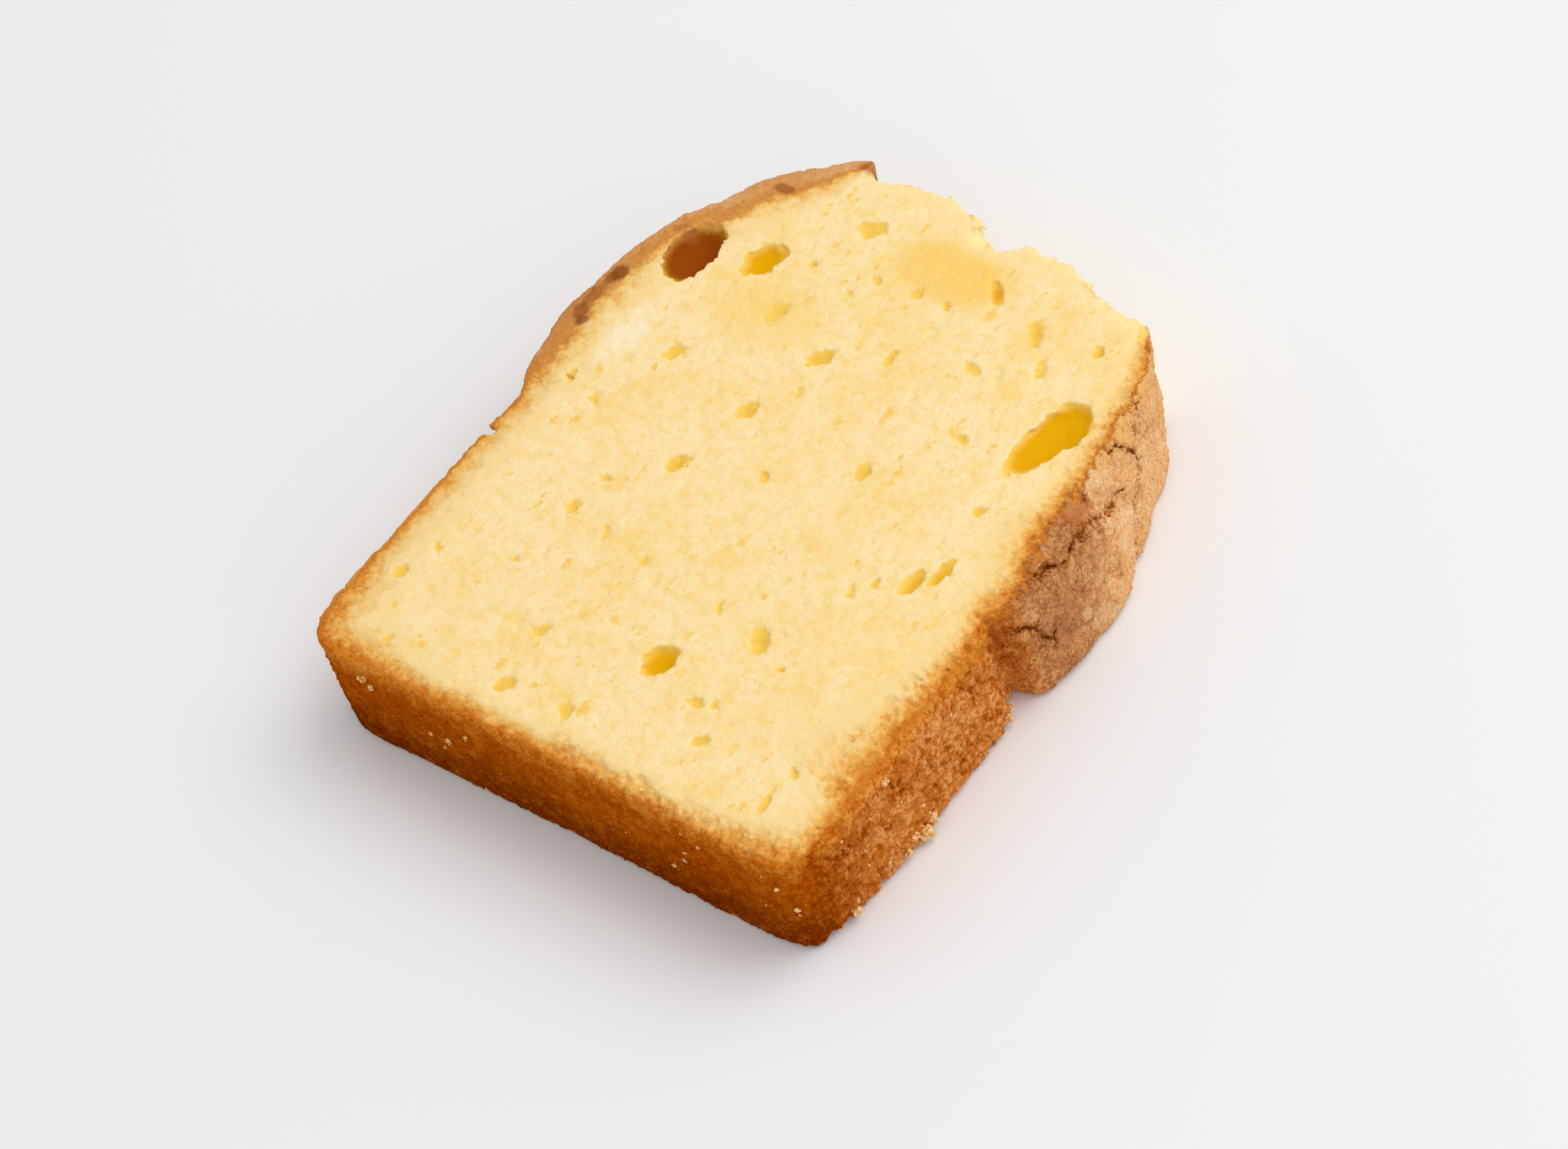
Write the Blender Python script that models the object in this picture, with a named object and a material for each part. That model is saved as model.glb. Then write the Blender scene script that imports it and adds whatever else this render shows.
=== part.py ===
"""A thick slice of plain pound cake, lying on one of its two cut faces.

X runs across the loaf, Y from the loaf's flat base to its cracked top, and Z through the slice.
The slice rests on its rear cut face at Z = 0 and shows its front cut face upwards.
"""

import math

import bmesh
import bpy
from mathutils import Vector

MM = 0.001

# Driving dimensions, in millimetres.
THICKNESS = 17.3          # the slice, from cut face to cut face
TIN_HALF_WIDTH = 39.6     # half the loaf's width at mid height of the tin
BASE_CORNER = 5.5         # radius of the loaf's bottom corners
RIM_HEIGHT = 43.0         # where the tin ends and the risen top hangs over its rim
RIM_PINCH = 2.0           # how far the crust draws in just under the overhang
BULGE = 2.6               # how far the risen top stands out past the tin, each side
BULGE_HEIGHT = 58.0
CROWN_HEIGHT = 96.2       # the highest point of the torn crown
LIP_X = -20.4             # the left crust stops here in a raised lip
TORN_END_X = 30.0         # the right crust starts again here
NOTCH_X = 2.8             # the dip between the two torn humps
NOTCH_DEPTH = 5.0

OUTLINE_POINTS = 232
LAYERS = 14
EDGE_ROUNDING = 0.7       # how far the crust's edge is worn back at a cut face
FLANK_PULL = 7.2          # how far the right flank of the dome is cut back at the front face

# Bubbles opened by the knife in the front cut face: x, y, length, width, turn in degrees, depth.
BUBBLES = (
    ("under_left_crust", -32.3, 73.1, 9.4, 6.6, 92, 3.6),
    ("upper_left", -22.8, 75.8, 7.0, 5.0, 66, 2.6),
    ("upper_middle", -12.7, 85.9, 4.8, 3.2, 48, 0.9),
    ("right_flank", 28.8, 67.2, 12.4, 4.8, 80, 2.8),
    ("lower_middle", 5.0, 17.8, 5.8, 3.9, 70, 2.4),
    ("lower_right", 26.3, 41.6, 4.4, 1.5, 84, 1.5),
    ("lower_right_edge", 28.8, 44.2, 5.2, 1.4, 80, 1.6),
)
BUBBLE_SEGMENTS = 18
BUBBLE_RINGS = 10

# Cracks across the right flank of the dome, each from the rear face to the front face:
# heights above the rim at the rear and at the front, depth and half width, in millimetres.
FLANK_CRACKS = (
    (30.0, 21.0, 0.9, 1.6),
    (17.0, 12.5, 0.7, 1.4),
    (9.0, 9.5, 0.6, 1.3),
)


def outline_keys():
    """Points round the section, counter-clockwise from the middle of the base.

    Each entry is the point on the rear face and the point on the front face. The two agree
    along the tin's walls and part where the top has risen and torn.
    """
    w = TIN_HALF_WIDTH
    r = BASE_CORNER
    rim = RIM_HEIGHT
    bulge = w + BULGE
    crown = CROWN_HEIGHT
    corner = r * (1.0 - math.sqrt(0.5))
    return (
        ((0.0, -0.6), (0.0, 0.0)),
        ((w - 2.4 * r, -0.9), (w - 2.2 * r, -0.1)),
        ((w - r, -0.7), (w - r, 0.1)),
        ((w - corner, corner - 0.8), (w - corner, corner - 0.2)),
        ((w + 0.2, r + 1.8), (w, r + 1.4)),
        ((w + 0.8, 0.42 * rim), (w + 0.1, 0.4 * rim)),
        ((w + 0.6, 0.75 * rim), (w - 0.2, 0.72 * rim)),
        ((w + 0.1, rim - 4.2), (w - 0.2, rim - 4.4)),
        ((w - RIM_PINCH, rim - 1.6), (w - RIM_PINCH + 0.6, rim - 1.6)),
        ((w + 1.4, rim + 0.2), (w - 0.7, rim + 1.4)),
        ((w + 2.6, rim + 5.0), (bulge - 4.4, rim + 6.6)),
        ((bulge + 0.2, BULGE_HEIGHT - 2.5), (bulge - FLANK_PULL + 0.7, BULGE_HEIGHT - 1.5)),
        ((bulge - 0.3, BULGE_HEIGHT + 3.4), (bulge - FLANK_PULL + 0.3, BULGE_HEIGHT + 4.0)),
        ((bulge - 2.6, BULGE_HEIGHT + 9.4), (bulge - FLANK_PULL, BULGE_HEIGHT + 10.0)),
        ((bulge - 4.6, BULGE_HEIGHT + 14.8), (bulge - FLANK_PULL - 0.4, BULGE_HEIGHT + 15.4)),
        ((bulge - 7.0, BULGE_HEIGHT + 21.4), (bulge - FLANK_PULL - 1.0, BULGE_HEIGHT + 21.8)),
        ((TORN_END_X + 1.6, crown - 11.4), (TORN_END_X + 2.6, crown - 10.6)),
        ((TORN_END_X - 1.8, crown - 7.6), (TORN_END_X - 0.6, crown - 7.4)),
        ((24.2, crown - 5.6), (25.0, crown - 7.2)),
        ((19.6, crown - 4.4), (20.6, crown - 4.9)),
        ((14.8, crown - 2.2), (15.6, crown - 3.4)),
        ((10.6, crown - 2.4), (11.2, crown - 2.6)),
        ((7.2, crown - 3.0), (7.4, crown - 2.2)),
        ((4.6, crown - 4.4), (5.2, crown - 4.0)),
        ((NOTCH_X, crown - NOTCH_DEPTH + 0.6), (NOTCH_X, crown - NOTCH_DEPTH + 0.2)),
        ((-0.8, crown - 2.4), (-0.6, crown - 1.6)),
        ((-4.4, crown - 1.0), (-4.2, crown - 0.1)),
        ((-9.2, crown - 0.6), (-9.4, crown + 0.3)),
        ((-13.6, crown - 0.9), (-13.8, crown - 0.2)),
        ((-16.0, crown - 1.8), (-16.6, crown - 1.3)),
        ((LIP_X + 2.4, crown - 1.4), (LIP_X + 2.4, crown - 1.0)),
        ((LIP_X + 0.4, crown - 0.6), (LIP_X + 0.6, crown + 0.2)),
        ((LIP_X - 3.6, crown - 2.8), (LIP_X - 3.4, crown - 2.2)),
        ((-28.4, crown - 6.0), (-28.0, crown - 5.4)),
        ((-32.4, crown - 9.8), (-31.6, crown - 9.0)),
        ((-35.4, crown - 15.4), (-34.4, crown - 13.6)),
        ((-38.0, crown - 20.6), (-37.4, crown - 17.4)),
        ((-40.4, crown - 27.4), (-39.6, crown - 22.4)),
        ((-bulge + 0.7, BULGE_HEIGHT + 5.6), (-bulge + 1.0, BULGE_HEIGHT + 7.0)),
        ((-bulge, BULGE_HEIGHT), (-bulge, BULGE_HEIGHT)),
        ((-w - 1.8, rim + 7.2), (-w - 1.5, rim + 9.0)),
        ((-w - 0.6, rim + 3.6), (-w - 0.8, rim + 5.0)),
        ((-w + RIM_PINCH - 0.4, rim + 0.4), (-w + RIM_PINCH - 1.4, rim + 1.6)),
        ((-w + 0.7, rim - 4.0), (-w + 0.6, rim - 3.4)),
        ((-w + 0.3, 0.7 * rim), (-w + 0.4, 0.7 * rim)),
        ((-w - 0.2, 0.4 * rim), (-w + 0.4, 0.4 * rim)),
        ((-w - 0.3, r + 4.4), (-w, r + 3.8)),
        ((-w, r - 0.8), (-w + 0.1, r - 0.6)),
        ((-w + corner, corner - 0.7), (-w + corner - 0.2, corner - 0.2)),
        ((-w + r, -0.6), (-w + r, 0.0)),
        ((-w + 2.2 * r, -0.7), (-w + 2.2 * r, 0.0)),
    )


def spline_point(keys, position):
    """Closed centripetal Catmull-Rom through keys, at a position counted in keys."""
    count = len(keys)
    start = int(math.floor(position))
    local = position - start
    p0, p1, p2, p3 = (keys[(start + step) % count] for step in (-1, 0, 1, 2))
    k1 = max((p1 - p0).length, 1e-6) ** 0.5
    k2 = k1 + max((p2 - p1).length, 1e-6) ** 0.5
    k3 = k2 + max((p3 - p2).length, 1e-6) ** 0.5
    t = k1 + (k2 - k1) * local
    a1 = p0.lerp(p1, t / k1)
    a2 = p1.lerp(p2, (t - k1) / (k2 - k1))
    a3 = p2.lerp(p3, (t - k2) / (k3 - k2))
    b1 = a1.lerp(a2, t / k2)
    b2 = a2.lerp(a3, (t - k1) / (k3 - k1))
    return b1.lerp(b2, (t - k1) / (k2 - k1))


def even_positions(keys, count):
    """Positions along the closed spline, spaced evenly by length."""
    fine = 24 * len(keys)
    places = [len(keys) * step / fine for step in range(fine + 1)]
    points = [spline_point(keys, place) for place in places]
    run = [0.0]
    for before, after in zip(points, points[1:]):
        run.append(run[-1] + (after - before).length)
    positions = []
    index = 0
    for step in range(count):
        target = run[-1] * step / count
        while run[index + 1] < target:
            index += 1
        share = (target - run[index]) / (run[index + 1] - run[index])
        positions.append(places[index] + share * (places[index + 1] - places[index]))
    return positions


def smooth_step(value, low, high):
    share = min(1.0, max(0.0, (value - low) / (high - low)))
    return share * share * (3.0 - 2.0 * share)


def waves(u, v, size, seed):
    """A smooth bumpy value between about -1 and 1 whose bumps are about size across."""
    total = 0.0
    for turn in range(4):
        angle = seed + 2.4 * turn
        along = u * math.cos(angle) + v * math.sin(angle)
        total += math.sin(math.tau * along / (size * (1.0 + 0.21 * turn)) + 1.7 * seed * (turn + 1))
    return total / 2.6


def tornness(x, y):
    """1 on the torn crown between the two crusts, 0 on the crusts."""
    across = smooth_step(x, LIP_X + 0.5, LIP_X + 3.5) * (1.0 - smooth_step(x, 27.0, TORN_END_X + 1))
    return across * smooth_step(y, 80.0, 84.0)


def crack_depth(y, layer):
    """How deep the flank's cracks are at a height and at a share of the thickness."""
    depth = 0.0
    for rear, front, deep, half_width in FLANK_CRACKS:
        middle = RIM_HEIGHT + rear + (front - rear) * layer + 1.2 * math.sin(8.0 * layer + rear)
        gap = (y - middle) / half_width
        depth += deep * math.exp(-gap * gap)
    return depth * smooth_step(layer, 0.15, 0.4) * (1.0 - smooth_step(layer, 0.85, 1.0))


def surface_offset(x, y, run, layer):
    """How far the outer surface stands out (+) or in (-) at one place, in millimetres."""
    z = THICKNESS * layer
    on_base = 1.0 - smooth_step(y, 1.0, 6.0)
    on_dome = smooth_step(y, RIM_HEIGHT, RIM_HEIGHT + 6.0)
    torn = tornness(x, y)
    inner = math.sin(math.pi * layer)
    offset = 0.10 * (1.0 - on_base) * waves(run, z, 5.0, 0.6)
    offset += 0.36 * on_dome * (1.0 - torn) * waves(run, z, 8.5, 1.9) * inner
    offset += torn * inner * (0.9 * waves(run, z, 6.5, 3.1) + 0.5 * waves(run, z, 3.4, 4.3))
    if x > 0.0:
        offset -= on_dome * (1.0 - torn) * crack_depth(y, layer)
    edge = min(layer, 1.0 - layer) * THICKNESS
    worn = max(0.0, 1.0 - edge / (1.6 * EDGE_ROUNDING))
    offset -= EDGE_ROUNDING * worn * worn * (1.0 - 0.6 * on_base)
    return offset


def layer_shares():
    """Shares of the thickness at which a ring of points lies, closer together at the faces."""
    shares = []
    for step in range(LAYERS):
        angle = math.pi * step / (LAYERS - 1)
        shares.append(0.5 - 0.5 * math.cos(angle))
    return shares


def section_ring(rear_keys, front_keys, positions, layer):
    """One closed ring of points round the slice at a share of its thickness."""
    blend = 1.0 - math.sqrt(max(0.0, 1.0 - layer * layer))
    plain = []
    for place in positions:
        rear = spline_point(rear_keys, place)
        front = spline_point(front_keys, place)
        plain.append(rear.lerp(front, blend))
    ring = []
    run = 0.0
    for index, point in enumerate(plain):
        before = plain[index - 1]
        after = plain[(index + 1) % len(plain)]
        along = (after - before).normalized()
        outward = Vector((along.y, -along.x))
        offset = surface_offset(point.x, point.y, run, layer)
        ring.append((point + outward * offset).to_3d())
        ring[-1].z = THICKNESS * layer
        run += (after - point).length
    return ring


def slice_mesh():
    """The slice without its bubbles: rings of quads closed by two flat cut faces."""
    keys = outline_keys()
    rear_keys = [Vector(rear) for rear, front in keys]
    front_keys = [Vector(front) for rear, front in keys]
    middle_keys = [rear.lerp(front, 0.4) for rear, front in zip(rear_keys, front_keys)]
    positions = even_positions(middle_keys, OUTLINE_POINTS)
    mesh = bmesh.new()
    rings = []
    for layer in layer_shares():
        ring = section_ring(rear_keys, front_keys, positions, layer)
        rings.append([mesh.verts.new(point * MM) for point in ring])
    for below, above in zip(rings, rings[1:]):
        for index in range(OUTLINE_POINTS):
            follow = (index + 1) % OUTLINE_POINTS
            mesh.faces.new((below[index], below[follow], above[follow], above[index]))
    mesh.faces.new(list(reversed(rings[0])))
    mesh.faces.new(rings[-1])
    bmesh.ops.triangulate(mesh, faces=mesh.faces[:])
    return mesh


def bubble_cutter(name, x, y, length, width, turn, depth):
    """An egg-shaped cutter half sunk in the front cut face."""
    mesh = bmesh.new()
    bmesh.ops.create_uvsphere(mesh, u_segments=BUBBLE_SEGMENTS, v_segments=BUBBLE_RINGS, radius=1.0)
    angle = math.radians(turn)
    for vert in mesh.verts:
        lump = 1.0 + 0.10 * waves(vert.co.x, vert.co.y + vert.co.z, 1.6, 0.3 * x)
        along = 0.5 * length * lump * vert.co.x
        across = 0.5 * width * lump * vert.co.y
        vert.co = Vector((
            x + along * math.cos(angle) - across * math.sin(angle),
            y + along * math.sin(angle) + across * math.cos(angle),
            THICKNESS + depth * lump * vert.co.z,
        )) * MM
    data = bpy.data.meshes.new("bubble_" + name)
    mesh.to_mesh(data)
    mesh.free()
    cutter = bpy.data.objects.new("bubble_" + name, data)
    cutter.hide_render = True
    cutter.display_type = "WIRE"
    bpy.context.scene.collection.objects.link(cutter)
    return cutter


def crumb_material():
    material = bpy.data.materials.new("crumb")
    material.use_nodes = True
    shader = material.node_tree.nodes["Principled BSDF"]
    shader.inputs["Base Color"].default_value = (0.96, 0.72, 0.34, 1.0)
    shader.inputs["Roughness"].default_value = 0.85
    shader.inputs["Metallic"].default_value = 0.0
    return material


def centre_on_footprint(mesh):
    """Move the slice so that the middle of its bounding box stands over the origin."""
    xs = [vert.co.x for vert in mesh.verts]
    ys = [vert.co.y for vert in mesh.verts]
    shift = Vector((-(min(xs) + max(xs)) / 2.0, -(min(ys) + max(ys)) / 2.0, 0.0))
    bmesh.ops.translate(mesh, vec=shift, verts=mesh.verts[:])
    return shift


def build():
    for item in list(bpy.data.objects):
        bpy.data.objects.remove(item, do_unlink=True)
    mesh = slice_mesh()
    shift = centre_on_footprint(mesh)
    data = bpy.data.meshes.new("cake_slice")
    mesh.to_mesh(data)
    mesh.free()
    data.materials.append(crumb_material())
    cake = bpy.data.objects.new("cake_slice", data)
    bpy.context.scene.collection.objects.link(cake)
    for bubble in BUBBLES:
        cutter = bubble_cutter(*bubble)
        cutter.location = shift
        cut = cake.modifiers.new(cutter.name, "BOOLEAN")
        cut.operation = "DIFFERENCE"
        cut.solver = "EXACT"
        cut.object = cutter
    data.shade_smooth()
    data.set_sharp_from_angle(angle=math.radians(40.0))


build()
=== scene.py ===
"""A thick slice of plain pound cake lying on its rear cut face: pale open crumb in a baked crust."""

import math
import random

import bmesh
import bpy
from mathutils import Matrix, Vector, noise
from mathutils.bvhtree import BVHTree


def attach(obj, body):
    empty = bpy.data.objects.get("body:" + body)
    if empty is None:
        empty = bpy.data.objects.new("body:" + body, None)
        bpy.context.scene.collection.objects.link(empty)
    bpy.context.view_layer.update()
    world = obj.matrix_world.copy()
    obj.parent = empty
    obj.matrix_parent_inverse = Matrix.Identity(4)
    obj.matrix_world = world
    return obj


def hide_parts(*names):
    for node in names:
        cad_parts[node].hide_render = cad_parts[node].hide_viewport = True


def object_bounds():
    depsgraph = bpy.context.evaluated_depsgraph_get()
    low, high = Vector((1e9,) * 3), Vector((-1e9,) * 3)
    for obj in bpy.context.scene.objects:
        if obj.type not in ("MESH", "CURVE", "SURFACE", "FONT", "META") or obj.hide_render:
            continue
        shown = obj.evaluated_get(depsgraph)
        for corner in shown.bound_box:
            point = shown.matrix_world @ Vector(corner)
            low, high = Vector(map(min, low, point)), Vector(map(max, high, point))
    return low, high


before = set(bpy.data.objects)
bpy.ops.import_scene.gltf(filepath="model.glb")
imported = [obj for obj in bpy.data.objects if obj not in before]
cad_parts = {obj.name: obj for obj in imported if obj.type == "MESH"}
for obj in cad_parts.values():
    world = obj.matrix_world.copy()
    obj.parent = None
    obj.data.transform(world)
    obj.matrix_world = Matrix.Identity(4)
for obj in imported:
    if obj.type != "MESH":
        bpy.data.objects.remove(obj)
CAD_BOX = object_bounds()

# ---------------------------------------------------------------------------------------------
# The slice: one piece of cake, of butter-yellow crumb in a thin baked skin. Its base and sides
# set against the tin, its crown rose over the rim, cracked and tore open, and the knife took it
# off in two parallel cuts. It is grown on a fine grid inside the solid's outer wall, less its
# bubbles, pores and cracks, and then parted into its cut faces, its walls and its crown.
# ---------------------------------------------------------------------------------------------

MM = 0.001
low, high = CAD_BOX
THICKNESS = (high.z - low.z) / MM
BASE_DROOP = 0.9                        # the base sags this far below its front edge
BASE_Y = low.y + BASE_DROOP * MM
GRID = 0.30                             # mm between the points of the grid


class Wire:
    """One output of a node. Arithmetic on it adds the nodes that work it out."""

    def __init__(self, wiring, socket):
        self.wiring = wiring
        self.socket = socket

    @property
    def is_vector(self):
        return self.socket.type in ("VECTOR", "RGBA")

    def join(self, other, operation, swap=False):
        pair = (other, self) if swap else (self, other)
        vector = self.is_vector or (isinstance(other, Wire) and other.is_vector)
        if operation == "MULTIPLY" and self.is_vector and not isinstance(other, (tuple, Vector)):
            if not (isinstance(other, Wire) and other.is_vector):
                return self.wiring.add("ShaderNodeVectorMath", {"operation": "SCALE"},
                                       {0: self, "Scale": other})
        kind = "ShaderNodeVectorMath" if vector else "ShaderNodeMath"
        return self.wiring.add(kind, {"operation": operation}, {0: pair[0], 1: pair[1]})

    def __add__(self, other):
        return self.join(other, "ADD")

    def __radd__(self, other):
        return self.join(other, "ADD")

    def __sub__(self, other):
        return self.join(other, "SUBTRACT")

    def __rsub__(self, other):
        return self.join(other, "SUBTRACT", swap=True)

    def __mul__(self, other):
        return self.join(other, "MULTIPLY")

    def __rmul__(self, other):
        return self.join(other, "MULTIPLY")

    def __truediv__(self, other):
        return self.join(other, "DIVIDE")

    def __pow__(self, other):
        return self.join(other, "POWER")

    def __neg__(self):
        return self * -1.0

    def max(self, other):
        return self.join(other, "MAXIMUM")

    def min(self, other):
        return self.join(other, "MINIMUM")

    def length(self):
        return self.wiring.add("ShaderNodeVectorMath", {"operation": "LENGTH"}, {0: self}, "Value")

    def sign(self):
        return self.wiring.add("ShaderNodeMath", {"operation": "SIGN"}, {0: self})

    def dot(self, other):
        return self.wiring.add("ShaderNodeVectorMath", {"operation": "DOT_PRODUCT"},
                               {0: self, 1: other}, "Value")

    def rise(self, start, end):
        """0 below start and 1 above end, with a soft step between them."""
        return self.wiring.add("ShaderNodeMapRange", {"interpolation_type": "SMOOTHSTEP"},
                               {"Value": self, "From Min": start, "From Max": end})

    def parts(self):
        return self.wiring.add("ShaderNodeSeparateXYZ", {}, {0: self}, ("X", "Y", "Z"))


class Wiring:
    """A node tree that is filled from Python expressions."""

    def __init__(self, tree):
        self.tree = tree

    def add(self, kind, settings=None, inputs=None, results=0):
        """Put in one node: its settings first, then the values or links of its inputs."""
        node = self.tree.nodes.new(kind)
        for name, value in (settings or {}).items():
            if name == "points":
                curve = node.mapping.curves[0]
                while len(curve.points) < len(value):
                    curve.points.new(0.5, 0.5)
                for point, (place, result) in zip(curve.points, value):
                    point.location = (place, result)
                node.mapping.update()
            else:
                setattr(node, name, value)
        for name, value in (inputs or {}).items():
            socket = node.inputs[name]
            if isinstance(value, Wire):
                self.tree.links.new(value.socket, socket)
            elif isinstance(value, (int, float)) and socket.type in ("VECTOR", "RGBA"):
                socket.default_value = [value] * len(socket.default_value)
            else:
                socket.default_value = value
        if isinstance(results, tuple):
            return [Wire(self, node.outputs[name]) for name in results]
        return Wire(self, node.outputs[results])

    def noise(self, place, size, detail=2.0, offset=0.0, result="Fac"):
        """Smooth noise of about 0 to 1 whose lumps are about size across."""
        return self.add("ShaderNodeTexNoise", {}, {
            "Vector": place + (offset, 0.37 * offset, -0.61 * offset),
            "Scale": 1.0 / size, "Detail": detail}, result)

    def grains(self, place, size):
        """Packed grains: 0 at each one's middle to about 1 between them, and a value for each."""
        away, colour = self.add("ShaderNodeTexVoronoi", {},
                                {"Vector": place, "Scale": 1.0 / size}, ("Distance", "Color"))
        return away, colour.parts()[0]

    def seams(self, place, size):
        """0 on the seams between cells of about size across, rising into each cell."""
        return self.add("ShaderNodeTexVoronoi", {"feature": "DISTANCE_TO_EDGE"},
                        {"Vector": place, "Scale": 1.0 / size})

    def profile(self, value, points):
        """A smooth curve through points of (value, result); values to 100, results to 10."""
        scaled = [(0.01 * place, 0.1 * result) for place, result in points]
        return 10.0 * self.add("ShaderNodeFloatCurve", {"points": scaled},
                               {"Value": value * 0.01})


def geometry_tree(name, sockets):
    """A Geometry Nodes tree with a geometry in and out and more named inputs."""
    tree = bpy.data.node_groups.new(name, "GeometryNodeTree")
    tree.interface.new_socket("Geometry", in_out="INPUT", socket_type="NodeSocketGeometry")
    tree.interface.new_socket("Geometry", in_out="OUTPUT", socket_type="NodeSocketGeometry")
    for label, kind in sockets:
        tree.interface.new_socket(label, in_out="INPUT", socket_type="NodeSocket" + kind)
    wiring = Wiring(tree)
    names = ("Geometry",) + tuple(label for label, kind in sockets)
    return wiring, wiring.add("NodeGroupInput", {}, {}, names)


def run_tree(item, wiring, values):
    """The mesh that a tree makes of an object, as plain mesh data."""
    modifier = item.modifiers.new("grow", "NODES")
    modifier.node_group = wiring.tree
    for socket in wiring.tree.interface.items_tree:
        if socket.in_out == "INPUT" and socket.name in values:
            modifier[socket.identifier] = values[socket.name]
    depsgraph = bpy.context.evaluated_depsgraph_get()
    mesh = bpy.data.meshes.new_from_object(item.evaluated_get(depsgraph), depsgraph=depsgraph)
    item.modifiers.remove(modifier)
    return mesh


def helper(name, mesh):
    item = bpy.data.objects.new(name, mesh)
    bpy.context.scene.collection.objects.link(item)
    return item


# Bubbles that the knife opened in the front face. Each is given by its place across the loaf and
# above its base, its length, width and turn from level, and how deep it goes, in millimetres,
# and then by how much its far end is wider and deeper than its middle.
BUBBLES = (
    (-32.5, 73.3, 10.4, 7.6, 92, 2.9, 0.0),
    (-22.8, 75.8, 7.0, 5.0, 66, 1.6, 0.1),
    (-12.7, 85.9, 5.0, 3.4, 48, 0.7, 0.0),
    (28.4, 66.6, 15.2, 6.0, 76, 1.9, 0.4),
    (5.0, 17.8, 6.0, 4.0, 74, 1.5, 0.1),
    (26.3, 41.6, 5.0, 2.0, 84, 1.0, 0.0),
    (28.8, 44.2, 5.6, 1.9, 80, 1.0, 0.0),
)
SMALL_BUBBLES = (
    (-10.4, 6.1, 3.0, 2.4, 60, 0.8), (-11.7, 14.8, 2.6, 2.2, 160, 0.7),
    (-12.2, 43.6, 3.2, 2.4, 60, 0.9), (-9.1, 54.8, 3.6, 2.4, 64, 0.8),
    (-5.8, 65.8, 4.0, 2.4, 64, 0.8), (8.7, 84.2, 4.4, 1.8, 126, 1.1),
    (-0.7, 79.8, 2.8, 1.8, 50, 0.7), (17.2, 80.8, 4.0, 2.0, 120, 0.8),
    (13.2, 72.6, 3.4, 1.8, 156, 0.6), (26.3, 81.7, 2.4, 1.6, 98, 0.8),
    (-0.7, 6.1, 3.2, 1.9, 97, 0.7), (-28.8, 4.6, 2.2, 1.5, 80, 0.6),
    (-20.4, 31.8, 2.4, 2.0, 20, 0.7), (-23.8, 58.6, 4.8, 2.2, 52, 0.7),
    (2.7, 69.8, 3.0, 1.4, 86, 0.7), (-34.1, 13.8, 2.6, 1.7, 71, 0.7),
    (30.3, 12.2, 2.2, 1.4, 113, 0.7), (29.7, 7.0, 4.2, 1.1, 106, 0.7),
    (17.2, 10.6, 1.9, 1.6, 56, 0.7), (19.4, 23.6, 1.5, 1.1, 60, 0.6),
    (14.5, 25.9, 5.2, 2.6, 120, 0.8), (-15.8, 69.6, 4.6, 2.8, 69, 0.6),
    (-5.3, 59.6, 2.8, 1.8, 72, 0.6), (10.3, 53.2, 2.4, 1.6, 105, 0.7),
    (21.4, 76.1, 4.4, 1.9, 121, 0.6), (-16.4, 78.2, 1.6, 1.2, 40, 0.7),
    (27.5, 54.5, 2.4, 1.8, 96, 0.7), (12.9, 14.9, 2.2, 1.8, 20, 0.7),
    (-6.6, 29.2, 2.8, 1.7, 12, 0.5), (-34.1, 49.3, 2.6, 1.4, 94, 0.7),
    (-29.3, 47.6, 3.4, 1.3, 134, 0.5), (20.3, 37.3, 3.4, 1.2, 115, 0.5),
    (18.4, 62.8, 2.0, 1.6, 10, 0.6), (22.0, 39.3, 2.0, 1.4, 126, 0.7),
    (-19.2, 37.7, 2.0, 1.4, 12, 0.6), (-14.1, 30.8, 3.4, 1.1, 116, 0.5),
    (-0.5, 46.7, 2.0, 1.2, 139, 0.7), (-7.0, 79.2, 2.0, 1.2, 109, 0.6),
    (-22.1, 21.7, 1.8, 1.3, 35, 0.7), (4.0, 79.7, 1.6, 1.5, 90, 0.7),
    (-9.0, 75.9, 1.7, 1.3, 167, 0.6), (15.3, 15.4, 1.7, 1.3, 10, 0.6),
    (6.8, 27.7, 2.6, 1.0, 120, 0.6), (-32.5, 19.0, 1.9, 1.1, 137, 0.6),
    (32.9, 75.6, 3.9, 2.6, 10, 0.7),
)

WIDENED = 1.15                          # a small bubble's rim crumbled back by this much

# Places where the front edge crumbled away, given in the same way.
CRUMBLED_EDGE = (
    (40.0, 24.5, 10.0, 8.4, 90, 1.3),
    (39.4, 16.8, 9.0, 10.0, 90, 1.5),
    (40.2, 31.5, 7.0, 5.4, 90, 1.0),
    (38.8, 44.0, 6.0, 4.4, 90, 1.0),
    (37.0, 2.0, 9.0, 6.0, 45, 1.3),
    (-38.8, 2.5, 8.0, 6.5, 135, 0.9),
    (36.2, 58.0, 6.0, 3.4, 100, 0.9),
    (34.6, 73.0, 7.0, 3.0, 100, 0.9),
    (30.6, 87.0, 6.0, 4.0, 130, 1.2),
)


def inside_bubble(point, scale):
    """Whether a point of the front face lies within one of the large bubbles' openings."""
    for x, up, length, width, turn, depth, taper in BUBBLES:
        angle = math.radians(turn)
        dx = point.x / MM - x
        dy = (point.y - BASE_Y) / MM - up
        along = (dx * math.cos(angle) + dy * math.sin(angle)) / (0.5 * length)
        across = (dy * math.cos(angle) - dx * math.sin(angle)) / (0.5 * width)
        if math.hypot(along, across) < scale:
            return True
    return False


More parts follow.
